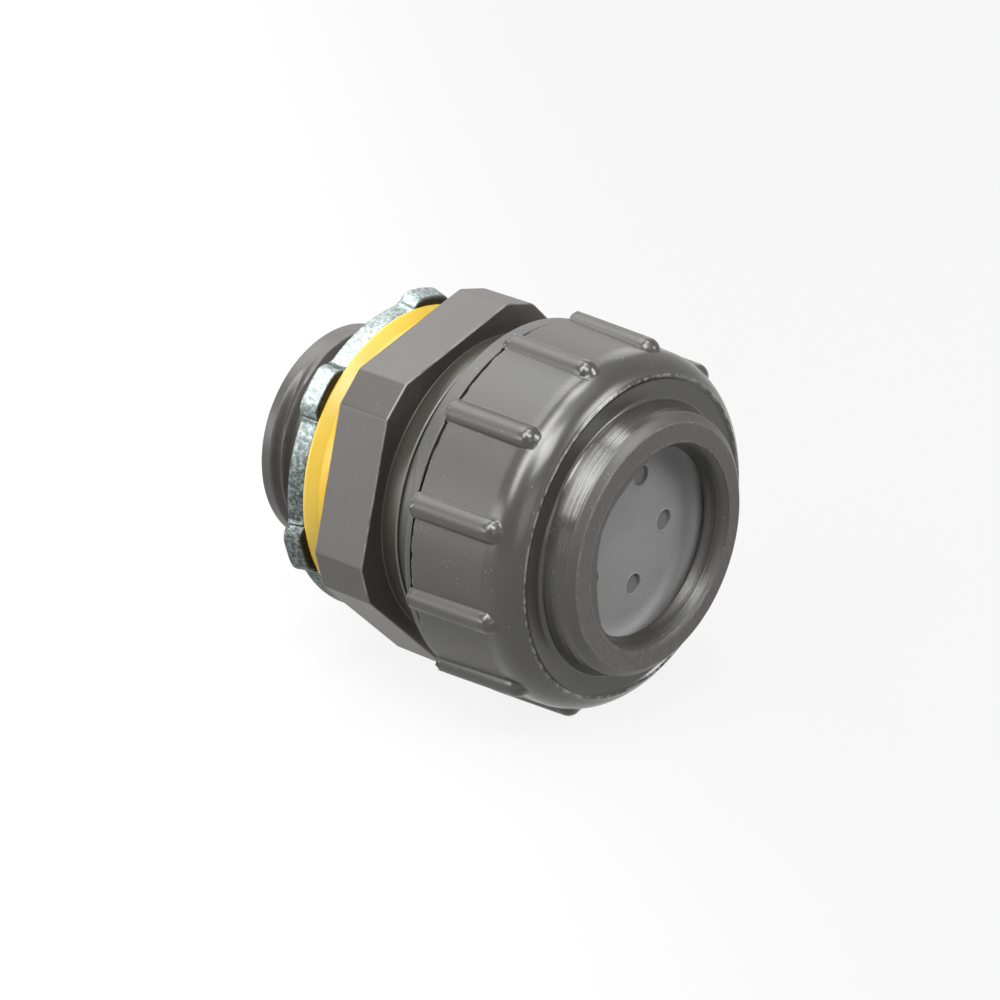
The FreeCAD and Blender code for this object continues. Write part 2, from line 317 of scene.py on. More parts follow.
def grid_object(name, points, poles=()):
    """An object from a grid of points in millimetres, closed round its columns.

    Each cell is a face with its front outwards where the rows run forwards along X. The rows
    close into a loop or, where two poles are given, each end closes on its pole.
    """
    sharp = math.radians(38.0)
    rows, columns = points.shape[:2]
    index = np.arange(rows * columns).reshape(rows, columns)
    lower = index[:-1] if poles else index
    upper = index[1:] if poles else np.roll(index, -1, axis=0)
    quads = np.stack(
        [lower, np.roll(lower, -1, axis=1), np.roll(upper, -1, axis=1), upper], axis=-1
    ).reshape(-1, 4)
    places = points.reshape(-1, 3)
    corners = [quads.ravel()]
    sizes = [np.full(len(quads), 4)]
    for end, pole in zip((0, -1), poles):
        rim = index[end]
        tip = np.full(columns, len(places))
        sides = (rim, np.roll(rim, -1)) if end else (np.roll(rim, -1), rim)
        corners.append(np.stack([sides[0], sides[1], tip], axis=-1).ravel())
        sizes.append(np.full(columns, 3))
        places = np.vstack([places, np.array(pole, float)[None, :]])
    corners, sizes = np.concatenate(corners), np.concatenate(sizes)
    mesh = bpy.data.meshes.new(name)
    mesh.vertices.add(len(places))
    mesh.vertices.foreach_set("co", (places * MM).astype(np.float32).ravel())
    mesh.loops.add(len(corners))
    mesh.loops.foreach_set("vertex_index", corners.astype(np.int32))
    mesh.polygons.add(len(sizes))
    starts = np.concatenate([[0], np.cumsum(sizes)[:-1]])
    mesh.polygons.foreach_set("loop_start", starts.astype(np.int32))
    mesh.polygons.foreach_set("loop_total", sizes.astype(np.int32))
    mesh.update(calc_edges=True)
    mesh.validate()
    mesh.shade_smooth()
    mesh.set_sharp_from_angle(angle=sharp)
    piece = bpy.data.objects.new(name, mesh)
    bpy.context.scene.collection.objects.link(piece)
    return piece


def dress(piece, body, node, material):
    """Give a piece its material and its body, and hide the solid that it stands for."""
    piece.data.materials.append(material)
    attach(piece, body)
    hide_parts(node)


# Materials


class Flow:
    """A number, vector or colour in a material's nodes, with Python's operators on it."""

    def __init__(self, graph, socket):
        self.graph = graph
        self.socket = socket

    def math(self, operation, other, swap=False):
        """A Math node's result from this flow and another value, or the other way round."""
        inputs = (other, self) if swap else (self, other)
        return self.graph.node("ShaderNodeMath", {"operation": operation}, dict(enumerate(inputs)))

    def __add__(self, other):
        return self.math("ADD", other)

    def __radd__(self, other):
        return self.math("ADD", other, swap=True)

    def __sub__(self, other):
        return self.math("SUBTRACT", other)

    def __rsub__(self, other):
        return self.math("SUBTRACT", other, swap=True)

    def __mul__(self, other):
        return self.math("MULTIPLY", other)

    def __rmul__(self, other):
        return self.math("MULTIPLY", other, swap=True)

    def __pow__(self, other):
        return self.math("POWER", other)

    def most(self, other):
        """The larger of this flow and another value."""
        return self.math("MAXIMUM", other)


class Graph:
    """The node tree of a material or a world."""

    def __init__(self, owner):
        self.owner = owner
        owner.use_nodes = True
        self.tree = owner.node_tree
        self.tree.nodes.clear()

    def link(self, value, socket):
        """Feed a socket with a flow, a number, a vector or a colour."""
        if isinstance(value, Flow):
            self.tree.links.new(value.socket, socket)
        elif hasattr(value, "__len__") and len(socket.default_value) == 4:
            socket.default_value = (*value[:3], 1.0)
        else:
            socket.default_value = value

    def node(self, kind, settings=None, inputs=None, output=0):
        """A node of this kind: its settings first, then its inputs, then one output."""
        node = self.tree.nodes.new(kind)
        for name, value in (settings or {}).items():
            setattr(node, name, value)
        for name, value in (inputs or {}).items():
            self.link(value, node.inputs[name])
        return Flow(self, node.outputs[output])

    def place(self):
        """Object coordinates."""
        return self.node("ShaderNodeTexCoord", output="Object")

    def split(self, vector):
        """The three parts of a vector."""
        first = self.node("ShaderNodeSeparateXYZ", inputs={0: vector})
        outputs = first.socket.node.outputs
        return [Flow(self, outputs[i]) for i in range(3)]

    def measures(self, place):
        """Millimetres along the grip's axis and away from it."""
        x, y, z = self.split(place)
        return x * PER_METRE, ((y * y + z * z) ** 0.5) * PER_METRE

    def join(self, x, y, z):
        """A vector from three parts."""
        return self.node("ShaderNodeCombineXYZ", inputs={0: x, 1: y, 2: z})

    def noise(self, vector, scale, detail=2.0, roughness=0.5):
        """Noise between 0 and 1."""
        inputs = {"Vector": vector, "Scale": scale, "Detail": detail, "Roughness": roughness}
        return self.node("ShaderNodeTexNoise", {"noise_dimensions": "3D"}, inputs)

    def cells(self, vector, scale):
        """Distance to the nearest point of a scatter."""
        settings = {"voronoi_dimensions": "3D", "feature": "F1"}
        inputs = {"Vector": vector, "Scale": scale}
        return self.node("ShaderNodeTexVoronoi", settings, inputs, "Distance")

    def rise(self, value, low, high, start=0.0, end=1.0):
        """Goes smoothly from start to end as value goes from low to high."""
        settings = {"interpolation_type": "SMOOTHSTEP", "clamp": True}
        inputs = {0: value, 1: low, 2: high, 3: start, 4: end}
        return self.node("ShaderNodeMapRange", settings, inputs)

    def fall(self, value, low, high):
        """Goes smoothly from 1 to 0 as value goes from low to high."""
        return self.rise(value, low, high, 1.0, 0.0)

    def band(self, value, low, high, soft):
        """1 between low and high, and 0 outside, with soft edges."""
        within = self.fall(value, high - soft, high + soft)
        return self.rise(value, low - soft, low + soft) * within

    def mix(self, factor, first, second):
        """A colour between two colours."""
        inputs = {0: factor, 6: first, 7: second}
        return self.node("ShaderNodeMix", {"data_type": "RGBA"}, inputs, output=2)

    def shade(self, colour, factor):
        """A colour made lighter or darker by a factor."""
        inputs = {0: colour, 1: self.join(factor, factor, factor)}
        return self.node("ShaderNodeVectorMath", {"operation": "MULTIPLY"}, inputs)

    def bump(self, height, strength, distance, normal=None):
        """A normal bumped by a height, over another normal or the plain one; distance is in mm."""
        inputs = {"Strength": strength, "Distance": distance * MM, "Height": height}
        if normal is not None:
            inputs["Normal"] = normal
        return self.node("ShaderNodeBump", None, inputs)

    def end(self, surface, kind="ShaderNodeOutputMaterial"):
        """Join a shader to the output, and give back the material or the world."""
        output = self.tree.nodes.new(kind)
        self.tree.links.new(surface.socket, output.inputs["Surface"])
        return self.owner

    def finish(self, **sockets):
        """End with the Principled shader, given its sockets by name."""
        inputs = {name.replace("_", " "): value for name, value in sockets.items()}
        return self.end(self.node("ShaderNodeBsdfPrincipled", None, inputs))


def dust(graph, place, scale, least, most):
    """Sparse fine specks: 1 on a speck and 0 elsewhere."""
    near = graph.fall(graph.cells(place, scale), 0.12, 0.2)
    return near * graph.rise(graph.noise(place, scale * 0.37, 1.0), least, most)


def body_plastic(colours):
    """Satin charcoal plastic with mould texture, specks, scuffs and painted edge highlights."""
    graph = Graph(bpy.data.materials.new("charcoal_plastic"))
    place = graph.place()
    x, y, z = graph.split(place)
    along, radius = graph.measures(place)
    cloud = graph.noise(place, 90.0, 3.0)
    grain = graph.noise(place, 2600.0, 2.0)
    scuff = graph.noise(graph.join(x * 4.0, y * 0.6, z * 0.6), 900.0, 2.0)
    specks = dust(graph, place, 2100.0, 0.62, 0.68)
    tone = 0.9 + cloud * 0.16 + (grain - 0.5) * 0.1
    colour = graph.shade(tuple(colours.body), tone)
    colour = graph.mix(specks * 0.5, colour, (0.2, 0.19, 0.18))
    # Painted highlights: lighter lines along the flange's rear and front edges, broken up by the
    # scuff noise.
    edges = graph.band(along, 0.02, 0.24, 0.04) + graph.band(along, 7.06, 7.24, 0.04)
    edges = edges * graph.rise(radius, 19.2, 19.5) * graph.rise(scuff, 0.3, 0.55)
    # Painted highlight along the neck's shoulder edge.
    lip = graph.band(along, 9.6, 9.8, 0.05) * graph.rise(radius, 18.0, 18.1)
    colour = graph.mix(edges * 0.7 + lip * 0.4, colour, (0.13, 0.125, 0.115))
    rough = 0.36 + cloud * 0.1 + (scuff - 0.5) * 0.08
    relief = graph.bump(grain + scuff * 0.4, 0.25, 0.012)
    return graph.finish(Base_Color=colour, Roughness=rough, IOR=1.6, Normal=relief)


def nut_plastic(colours):
    """Charcoal plastic: satin skirt, glossy crown, turned collar, brushed face, painted groove
    shade.
    """
    graph = Graph(bpy.data.materials.new("nut_plastic"))
    place = graph.place()
    x, y, z = graph.split(place)
    along, radius = graph.measures(place)
    cloud = graph.noise(place, 110.0, 3.0)
    grain = graph.noise(place, 2400.0, 2.0)
    streaks = graph.noise(graph.join(x * 0.12, y, z), 1500.0, 2.0)
    rings = graph.noise(graph.join(x, radius * 0.0007, 0.0), 3600.0, 3.0, 0.65)
    broken = graph.noise(graph.join(x * 6.0, y * 0.4, z * 0.4), 700.0, 2.0)
    hatch = graph.noise(graph.join(x, y * 2.2 + z * 1.2, y * 0.25 - z * 0.35), 1500.0, 3.0, 0.6)
    specks = dust(graph, place, 2000.0, 0.6, 0.67)
    crown = graph.band(along, 24.6, 28.9, 0.5)
    turned_part = graph.rise(along, 28.75, 28.95) * graph.fall(along, 31.5, 31.7)
    wall = graph.fall(radius, 12.0, 12.4) * graph.rise(along, 29.5, 30.0)
    cut = turned_part.most(wall)
    face = graph.rise(along, 32.45, 32.55) * graph.rise(radius, 11.9, 12.1)
    tone = 0.88 + cloud * 0.2 + (streaks - 0.5) * 0.12 + (grain - 0.5) * 0.1
    tone = tone + cut * (rings - 0.5) + face * ((hatch - 0.5) * 2.4 + 0.6)
    colour = graph.shade(tuple(colours.nut), tone)
    colour = graph.mix(specks * 0.5, colour, (0.2, 0.2, 0.19))
    edge = graph.noise(place, 1400.0, 2.0) * 0.3
    # Painted shade: the groove between the lip and the skirt is darkened almost to black, with
    # ragged edges.
    painted_groove_shade = graph.band(along, 14.38 - edge * 0.5, 15.0 + edge * 0.3, 0.05)
    colour = graph.mix(painted_groove_shade * 0.85, colour, (0.008, 0.008, 0.008))
    chips = graph.rise(graph.noise(place, 2600.0, 1.0), 0.6, 0.66)
    flash = graph.band(along, 14.4, 15.02, 0.06) * chips * graph.rise(radius, 21.15, 21.3)
    colour = graph.mix(flash * 0.5, colour, (0.3, 0.3, 0.29))
    # Lighter broken lines along the crown's trimmed edge and along the face's inner and outer
    # edges.
    ledge = graph.band(along, 28.93, 29.08, 0.03) * graph.rise(radius, 18.3, 18.4)
    rim = graph.band(radius, 11.95, 12.25, 0.06) * graph.rise(along, 32.3, 32.4)
    rim = rim + graph.band(radius, 14.1, 14.4, 0.06) * graph.rise(along, 32.3, 32.4)
    edge_lines = (ledge + rim * 0.35) * graph.rise(graph.noise(place, 900.0, 3.0, 0.7), 0.42, 0.6)
    colour = graph.mix(edge_lines * 0.6, colour, (0.16, 0.16, 0.15))
    rough = 0.4 + cloud * 0.08 - crown * 0.2 + cut * (rings * 0.3 - 0.4)
    rough = rough + wall * 0.2 + face * 0.15
    relief = graph.bump(grain + streaks * 0.5, 0.25, 0.012)
    relief = graph.bump(cut * (rings + broken * 0.12), 0.9, 0.05, relief)
    relief = graph.bump(face * hatch, 0.9, 0.05, relief)
    return graph.finish(Base_Color=colour, Roughness=rough, IOR=1.6, Normal=relief)


def amber_rubber(colours):
    """Smooth translucent amber: paler and softer on the flared lip."""
    graph = Graph(bpy.data.materials.new("amber_rubber"))
    place = graph.place()
    along = graph.split(place)[0] * PER_METRE
    lip = graph.fall(along, -3.1, -2.6)
    deep = tuple(colours.amber)
    pale = (0.44, 0.3, 0.028)
    cloud = graph.noise(place, 160.0, 2.0)
    colour = graph.mix(lip, deep, pale)
    colour = graph.shade(colour, 0.94 + cloud * 0.12)
    grain = graph.noise(place, 900.0, 2.0)
    relief = graph.bump(grain, 0.15, 0.02)
    return graph.finish(
        Base_Color=colour,
        Roughness=0.32 + cloud * 0.1,
        Normal=relief,
        Subsurface_Weight=0.25,
        Subsurface_Radius=(0.8, 0.5, 0.1),
        Subsurface_Scale=0.001,
    )


def zinc_plate(colours):
    """Rough zinc plating over stamped steel: mottled, pitted, bluish; painted top light and front
    shade.
    """
    graph = Graph(bpy.data.materials.new("zinc_plate"))
    place = graph.place()
    x, y, z = graph.split(place)
    mottle = graph.noise(place, 1900.0, 4.0, 0.75)
    pits = graph.noise(graph.join(x * 0.55, y, z), 3600.0, 3.0, 0.6)
    patches = graph.rise(mottle, 0.36, 0.72)
    # Painted light: the upper side, towards +Z and -Y, is made paler and brighter, as if lit from
    # above.
    high = graph.rise(z * 0.9 - y * 0.3, 0.0085, 0.0125)
    pale = graph.mix(high, (0.22, 0.25, 0.235), (0.4, 0.45, 0.44))
    deep = graph.shade(tuple(colours.zinc), 0.17 + high * 0.4)
    colour = graph.mix(patches, deep, pale)
    dark = graph.fall(pits, 0.34, 0.44)
    colour = graph.mix(dark * 0.75, colour, (0.1, 0.14, 0.14))
    # Painted shade: the front face, which lies in shadow, is darkened almost to black.
    front = graph.rise(x, -0.0047, -0.00445)
    colour = graph.mix(front * 0.9, colour, (0.04, 0.035, 0.025))
    rough = 0.3 + mottle * 0.3
    relief = graph.bump(pits + mottle * 0.8, 0.8, 0.05)
    return graph.finish(Base_Color=colour, Roughness=rough, Metallic=1.0, Normal=relief)


def grey_rubber(colours):
    """Matt grey rubber: dust specks, painted light at the rim, painted shade and highlights at the
    dimples.
    """
    graph = Graph(bpy.data.materials.new("grey_rubber"))
    place = graph.place()
    cloud = graph.noise(place, 260.0, 3.0)
    grain = graph.noise(place, 3000.0, 2.0)
    specks = dust(graph, place, 2300.0, 0.6, 0.66)
    along, radius = graph.measures(place)
    # Painted light: the face grows much lighter towards its rim, where the nut's mouth shades it.
    tone = 0.82 + cloud * 0.34 + (grain - 0.5) * 0.2 + graph.rise(radius, 10.5, 13.0) * 1.1
    # Painted shade: inside the circle of holes, the dimples and the cord holes' ends are darkened
    # by 40 percent.
    middle = graph.fall(radius, 9.0, 9.4) * graph.rise(along, 24.0, 25.0)
    tone = tone * (1.0 - middle * graph.rise(along, 27.3, 27.5, 0.4, 0.0))
    colour = graph.shade(tuple(colours.rubber), tone)
    colour = graph.mix(specks * 0.4, colour, (0.4, 0.4, 0.4))
    # Painted highlight: the raised lips round the dimples are made lighter.
    colour = graph.mix(middle * graph.rise(along, 27.62, 27.66) * 0.2, colour, (0.4, 0.4, 0.39))
    relief = graph.bump(grain + cloud, 0.3, 0.015)
    return graph.finish(Base_Color=colour, Roughness=0.62 + cloud * 0.1, Normal=relief)


def white_nylon(colours):
    """Natural nylon with faint mould swirls."""
    graph = Graph(bpy.data.materials.new("white_nylon"))
    place = graph.place()
    cloud = graph.noise(place, 220.0, 3.0)
    colour = graph.shade(tuple(colours.nylon), 0.92 + cloud * 0.14)
    relief = graph.bump(graph.noise(place, 2000.0, 2.0), 0.2, 0.01)
    return graph.finish(Base_Color=colour, Roughness=0.4 + cloud * 0.1, Normal=relief)


# Pieces


def polygon_radius(angles, flange):
    """Distance from the axis to a twelve-sided outline, by a soft least of its sides.

    A side at distance d and angle a lies at d / cos(angle - a). The soft least is minus the
    log of the sum of exp(-k side), over k, which rounds the corners. Sides are counted from a
    middling distance, so that the sum stays in range. One upper corner is rounder.
    """
    middling = 19.7
    sharp, softer = 26.0, 6.5
    softer_at, reach = 338.6, 12.0
    k = sharp - (sharp - softer) * hump(off_centre(angles, softer_at, 1), 0.0, reach)
    total = np.zeros(len(angles))
    for flat, turn in ((mm(flange.flat_radius), 0.0), (mm(flange.corner_radius), 30.0)):
        off = np.radians(off_centre(angles, math.degrees(flange.turn) + turn, 6))
        total += np.exp(-k * (flat / np.cos(off) - middling))
        for side in (-1.0, 1.0):
            away = np.clip(off + side * math.pi / 3.0, -1.4, 1.4)
            total += np.exp(-k * (flat / np.cos(away) - middling))
    return middling - np.log(total) / k


def thread_drop(stations, angles, thread):
    """Depth of the hub's helical groove at each station and angle.

    The groove's middle moves forwards by the pitch in each turn. Its section is a wedge with
    a rounded floor and soft edges at the crests, and over its first part it grows both deeper
    and wider. Where two turns meet, the deeper one counts.
    """
    outside = -1.0
    floor_rounding, narrowed, shallow = 0.02, 0.4, 0.05
    pitch = mm(thread.pitch)
    first = -mm(thread.start)
    x = stations[:, None]
    nearest = np.round((x - first) / pitch - angles[None, :] / TURN)
    drop = np.full(nearest.shape, outside)
    for turns in (nearest, nearest + 1.0):
        travelled = turns * TURN + angles[None, :]
        middle = first + pitch * travelled / TURN
        away = np.abs(x - middle) / mm(thread.half_width)
        section = 1.0 - np.sqrt(away**2 + floor_rounding)
        begun = travelled - math.degrees(thread.fade_from)
        fade = smooth(0.0, math.degrees(thread.fade_over), begun)
        section = section + narrowed * (fade - 1.0)
        depth = mm(thread.depth) * section * (shallow + (1.0 - shallow) * fade)
        drop = np.maximum(drop, np.where(turns < 0.0, outside, depth))
    return 1.04 * larger(drop, 0.0, 0.05)


def flange_columns(turn):
    """Angles for the body's columns: even ones, and close ones at the flange's twelve edges.

    An edge lies half a flat's angle to either side of a flat's middle.
    """
    half_flat = 23.81
    close = np.array([0.0, 0.25, 0.5, 0.8, 1.2, 2.0])
    either_side = np.concatenate([-close, close])
    columns = np.arange(0.0, TURN, 2.4)
    for edge in (half_flat, -half_flat):
        every = turn + edge + 60.0 * np.arange(6)[:, None] + either_side[None, :]
        columns = np.concatenate([columns, every.ravel() % TURN])
    columns = np.unique(np.round(columns, 3))
    gaps = np.diff(columns, append=columns[0] + TURN)
    return columns[gaps > 0.12]


def body_surface(thread, flange):
    """The body: a turned profile whose flange rows follow the twelve-sided outline.

    A row's radius is its profile radius, plus its share of the outline's distance beyond the
    middle of a flat, less the depth of the thread's groove on the hub. Rows are close on the
    hub and at edges, and sparse on plain faces.
    """
    crest = mm(thread.crest_radius)
    flat = mm(flange.flat_radius)
    front = mm(flange.thickness)
    neck = 17.8
    corners = [
        (-16.35, 10.75, 0.15),
        (-16.35, 12.85, 0.2),
        (-16.0, crest, 0.2),
        (-0.05, crest, 0.0),
        (0.0, crest + 0.05, 0.0),
        (0.0, flat, 0.28),
        (front, flat, 0.22),
        (front, 17.92, 0.12),
        (9.82, 18.25, 0.22),
        (9.82, neck, 0.1),
        (22.27, neck, 0.35),
        (22.27, 16.5, 0.1),
        (19.27, 14.6, 0.3),
        (9.0, 14.6, 0.1),
        (9.0, 10.4, 0.1),
        (-16.0, 10.4, 0.15),
    ]
    stations, radii = contour(corners, 0.135)
    steps = np.abs(np.diff(stations, prepend=stations[-1]))
    steps = steps + np.abs(np.diff(radii, prepend=radii[-1]))
    hub = (radii > 12.5) & (stations < 0.0)
    inside = (radii < 17.0) & ~hub & (steps <= 0.155)
    flats = (stations > 0.3) & (stations < front - 0.4) & (radii > flat - 0.01)
    faces = (np.abs(stations) < 0.005) | (np.abs(stations - front) < 0.005)
    plain = (np.abs(radii - neck) < 0.01) & (stations > 10.2) & (stations < 21.6)
    keep = sparse(inside, 5) & sparse(flats, 6)
    keep &= sparse(faces & (radii < 19.0), 4) & sparse(plain, 8)
    stations, radii = stations[keep], radii[keep]
    columns = flange_columns(math.degrees(flange.turn))
    outline = polygon_radius(columns, flange) - flat
    rear_rise = smooth(crest + 0.06, flat - 1.0, radii) * (stations < front / 2.0)
    front_rise = smooth(flat - 0.52, flat - 0.3, radii) * (stations >= front / 2.0)
    on_flange = (stations >= -0.001) & (stations <= front + 0.001)
    weight = np.where(on_flange, np.maximum(rear_rise, front_rise), 0.0)
    rows = radii[:, None] + weight[:, None] * outline[None, :]
    on_hub = ((radii > 12.5) & (stations < -0.06))[:, None]
    rows = rows - np.where(on_hub, thread_drop(stations, columns, thread), 0.0)
    return turned(stations, rows, columns)


class GRIP_OT_gland_body(bpy.types.Operator):
    """Build the moulded body: threaded hub, flange and neck"""

    bl_idname = "grip.gland_body"
    bl_label = "Gland body"

    def execute(self, context):
        scene = context.scene
        piece = grid_object("body_shell", body_surface(scene.grip_thread, scene.grip_flange))
        dress(piece, "body", "gland_body", body_plastic(scene.grip_colours))
        return {"FINISHED"}


def ring_surface():
    """The sealing ring: a turned profile, with a slow seeded ripple added to its outside."""
    corners = [
        (-4.4, 13.3, 0.1),
        (-4.4, 18.45, 0.12),
        (-4.1, 18.45, 0.15),
        (-2.75, 17.62, 0.5),
        (0.0, 17.62, 0.1),
        (0.0, 13.3, 0.1),
    ]
    stations, radii = contour(corners, 0.3)
    columns = np.arange(0.0, TURN, 1.5)
    waves = 0.02 * ripple(columns, 5, 2, 9, 6)
    outside = radii > 16.0
    return turned(stations, radii[:, None] + waves[None, :] * outside[:, None], columns)


class GRIP_OT_sealing_ring(bpy.types.Operator):
    """Build the amber sealing ring"""

    bl_idname = "grip.sealing_ring"
    bl_label = "Sealing ring"

    def execute(self, context):
        scene = context.scene
        piece = grid_object("amber_ring", ring_surface())
        dress(piece, "ring", "sealing_ring", amber_rubber(scene.grip_colours))
        return {"FINISHED"}


def locknut_surface(sizes):
    """The locknut: a stamped ring whose rows follow an outline with lugs.

    Across a lug the outline is an arc at the lug's radius with rounded corners and straight
    sides, and between the lugs it is the rim's radius. The outside narrows towards the front.
    """
    rim, lug = mm(sizes.rim_radius), mm(sizes.lug_radius)
    half = mm(sizes.lug_half_width)
    turn = math.degrees(sizes.lug_turn)
    rear, front = -6.75, -4.4
    bore, corner = 13.26, 2.0
    measured_at = 19.0
    offsets = np.concatenate([np.linspace(0.0, half - 1.0, 9), np.linspace(half - 0.9, half, 14)])
    offsets = np.concatenate([offsets, [half + 0.03, half + 0.12, half + 0.25, half + 0.5]])
    columns = fan(6, turn, np.degrees(offsets / measured_at), 26)
    across = np.abs(np.radians(off_centre(columns, turn, 6)) * measured_at)
    over = np.clip(across - (half - corner), 0.0, corner)
    drop = corner - np.sqrt(np.maximum(corner**2 - over**2, 0.0))
    foot = 0.3 * (1.0 - smooth(half + 0.02, half + 0.5, across)) ** 2
    outline = np.maximum(np.where(across <= half + 1e-6, lug - drop, rim + foot), rim) - rim
    corners = [
        (rear, bore, 0.15),
        (rear, rim, 0.4),
        (front, rim, 0.35),
        (front, bore, 0.15),
    ]
    stations, radii = contour(corners, 0.25)
    weight = smooth(15.5, rim - 0.5, radii)
    rows = radii[:, None] + weight[:, None] * outline[None, :]
    forwards = (stations - (rear + front) / 2.0) / (front - rear)
    slant = mm(sizes.slant) * forwards * weight
    return turned(stations, rows - slant[:, None], columns)


class GRIP_OT_lock_nut(bpy.types.Operator):
    """Build the zinc-plated locknut"""

    bl_idname = "grip.lock_nut"
    bl_label = "Locknut"

    def execute(self, context):
        scene = context.scene
        piece = grid_object("zinc_locknut", locknut_surface(scene.grip_locknut))
        dress(piece, "locknut", "lock_nut", zinc_plate(scene.grip_colours))
        return {"FINISHED"}


NUT_EDGE = (29.04, 18.71)
NUT_FRONT, NUT_MOUTH = 32.6, 12.0


def nut_profile(skirt, narrow):
    """Stations and radii of the compression nut without ribs, sparse where it is plain.

    From the rear lip they run over the groove, the tapered skirt, the crown's arc, the trimmed
    edge, the shelf, the collar, the face and the mouth's curved wall to the inside.
    """
    crown = arc_points((25.54, narrow), NUT_EDGE, 4.245, 26)
    foot = arc_points((28.76, 16.25), (29.3, 15.86), -0.55, 5)
    funnel = arc_points((32.45, NUT_MOUTH), (29.95, 11.1), 3.4, 14)
    corners = [
        (13.4, 17.9, 0.15),
        (13.4, 21.06, 0.3),
        (14.36, 21.06, 0.08),
        (14.46, 20.3, 0.0),
        (14.86, 20.3, 0.0),
        (14.9, skirt, 0.1),
        *crown,
        (*NUT_EDGE, 0.0),
        (28.98, 18.57, 0.0),
        (28.76, 18.2, 0.25),
        *foot,
        (31.85, 15.2, 0.12),
        (NUT_FRONT, 14.28, 0.1),
        (NUT_FRONT, 12.1, 0.08),
        *funnel,
        (29.9, 11.1, 0.15),
        (29.9, 14.2, 0.1),
        (26.05, 14.2, 0.1),
        (26.05, 17.9, 0.1),
    ]
    stations, radii = contour(corners, 0.3)
    tapered = (radii > narrow) & (stations > 15.3) & (stations < 24.0)
    hidden = (radii < 18.0) & (stations < 26.0)
    keep = sparse(tapered | hidden, 3)
    return stations[keep], radii[keep]


def rib_rods(sizes, x, across):
    """Height of the ribs' rods at each station and distance across a rib.

    A rib is a rod along X with a round front end, sunk in the skirt, so its height at t across
    and d past the start of its end is the rod's middle plus the root of radius squared less t
    squared less d squared. Beside the rod the height falls off three times as steeply.
    """
    start, end = 14.55, 26.6
    rib = mm(sizes.rib_radius)
    draft = mm(sizes.rib_draft) * (x - start) / (end - start)
    middle = mm(sizes.skirt_radius) + mm(sizes.rib_height) - rib - draft
    after = np.clip(x - end + rib, 0.0, None)
    inside = rib**2 - across[None, :] ** 2 - after**2
    above, below = np.sqrt(np.maximum(inside, 0.0)), np.sqrt(np.maximum(-inside, 0.0))
    return middle + np.where(inside > 0.0, above, -3.0 * below)


def nut_surface(sizes):
    """The compression nut: a turned profile raised by twelve ribs.

    The surface is the soft larger of the profile and the ribs' rods. A rib's rear end reaches
    back over the groove, and the lip's upper part reaches back as a tongue. Seeded ripples
    make the trimmed edges uneven, and the mouth's wall moves to one side by its shift and two
    bells round the axis.
    """
    skirt, rib = mm(sizes.skirt_radius), mm(sizes.rib_radius)
    turn = math.degrees(sizes.rib_turn)
    burr = mm(sizes.burr)
    measured_at = 22.0
    side_y, side_z = 0.866, -0.5
    stations, radii = nut_profile(skirt, skirt - mm(sizes.skirt_draft))
    sides = np.linspace(0.0, rib - 0.35, 6), np.linspace(rib - 0.28, rib + 0.06, 7)
    offsets = np.concatenate([*sides, [rib + 0.25]])
    columns = fan(12, turn, np.degrees(offsets / measured_at), 9)
    across = np.radians(off_centre(columns, turn, 12)) * measured_at
    x, base = stations[:, None], radii[:, None]
    outer = (base > 17.95) & (x > 13.0) & (x < 29.0)

    wall = smooth(21.08, skirt - 0.06, base) * (x < 14.95) + (x >= 14.95)
    lifted = larger(base, rib_rods(sizes, x, across), 0.12)
    raised = base + (lifted - base) * wall * outer
    at_mouth = hump(x, NUT_FRONT, 0.12) * hump(base, NUT_MOUTH, 0.16)
    at_ledge = hump(x, NUT_EDGE[0], 0.1) * hump(base, NUT_EDGE[1], 0.15)

    near = smooth(rib + 0.02, rib - 0.12, np.abs(across))[None, :]
    push = smooth(14.0, 14.85, x) * (1.0 - smooth(14.95, 16.2, x)) * outer
    ragged = ripple(columns, 11, 40, 220, 40)[None, :] * burr
    at_edge = smooth(14.6, 14.88, x) * (1.0 - smooth(14.93, 15.2, x)) * outer
    back = smooth(70.0, 52.0, columns) + smooth(300.0, 345.0, columns)
    tongue = mm(sizes.tongue) * back[None, :] * smooth(14.6, 13.6, x) * smooth(20.0, 20.8, base)
    x_out = x - 0.35 * near * push + ragged * at_edge - tongue
    raised = raised + at_mouth * ripple(columns, 23, 30, 260, 40)[None, :] * burr * 0.9
    raised = raised + at_ledge * ripple(columns, 31, 30, 200, 40)[None, :] * burr * 0.4
    points = turned(x_out, raised, columns)

    reach = np.full(len(columns), mm(sizes.mouth_shift))
    for further, towards, spread in ((1.0, 94.0, 27.0), (0.75, 30.0, 20.0)):
        reach = reach + further * hump(columns, towards, spread)
    shift = (smooth(13.2, 12.6, radii) * smooth(29.7, 31.0, stations))[:, None] * reach
    points[..., 1] += side_y * shift
    points[..., 2] += side_z * shift
    return points


class GRIP_OT_compression_nut(bpy.types.Operator):
    """Build the ribbed compression nut"""

    bl_idname = "grip.compression_nut"
    bl_label = "Compression nut"

    def execute(self, context):
        scene = context.scene
        piece = grid_object("ribbed_nut", nut_surface(scene.grip_nut))
        dress(piece, "nut", "compression_nut", nut_plastic(scene.grip_colours))
        return {"FINISHED"}


GROMMET_REAR, GROMMET_FACE = 9.0, 27.6


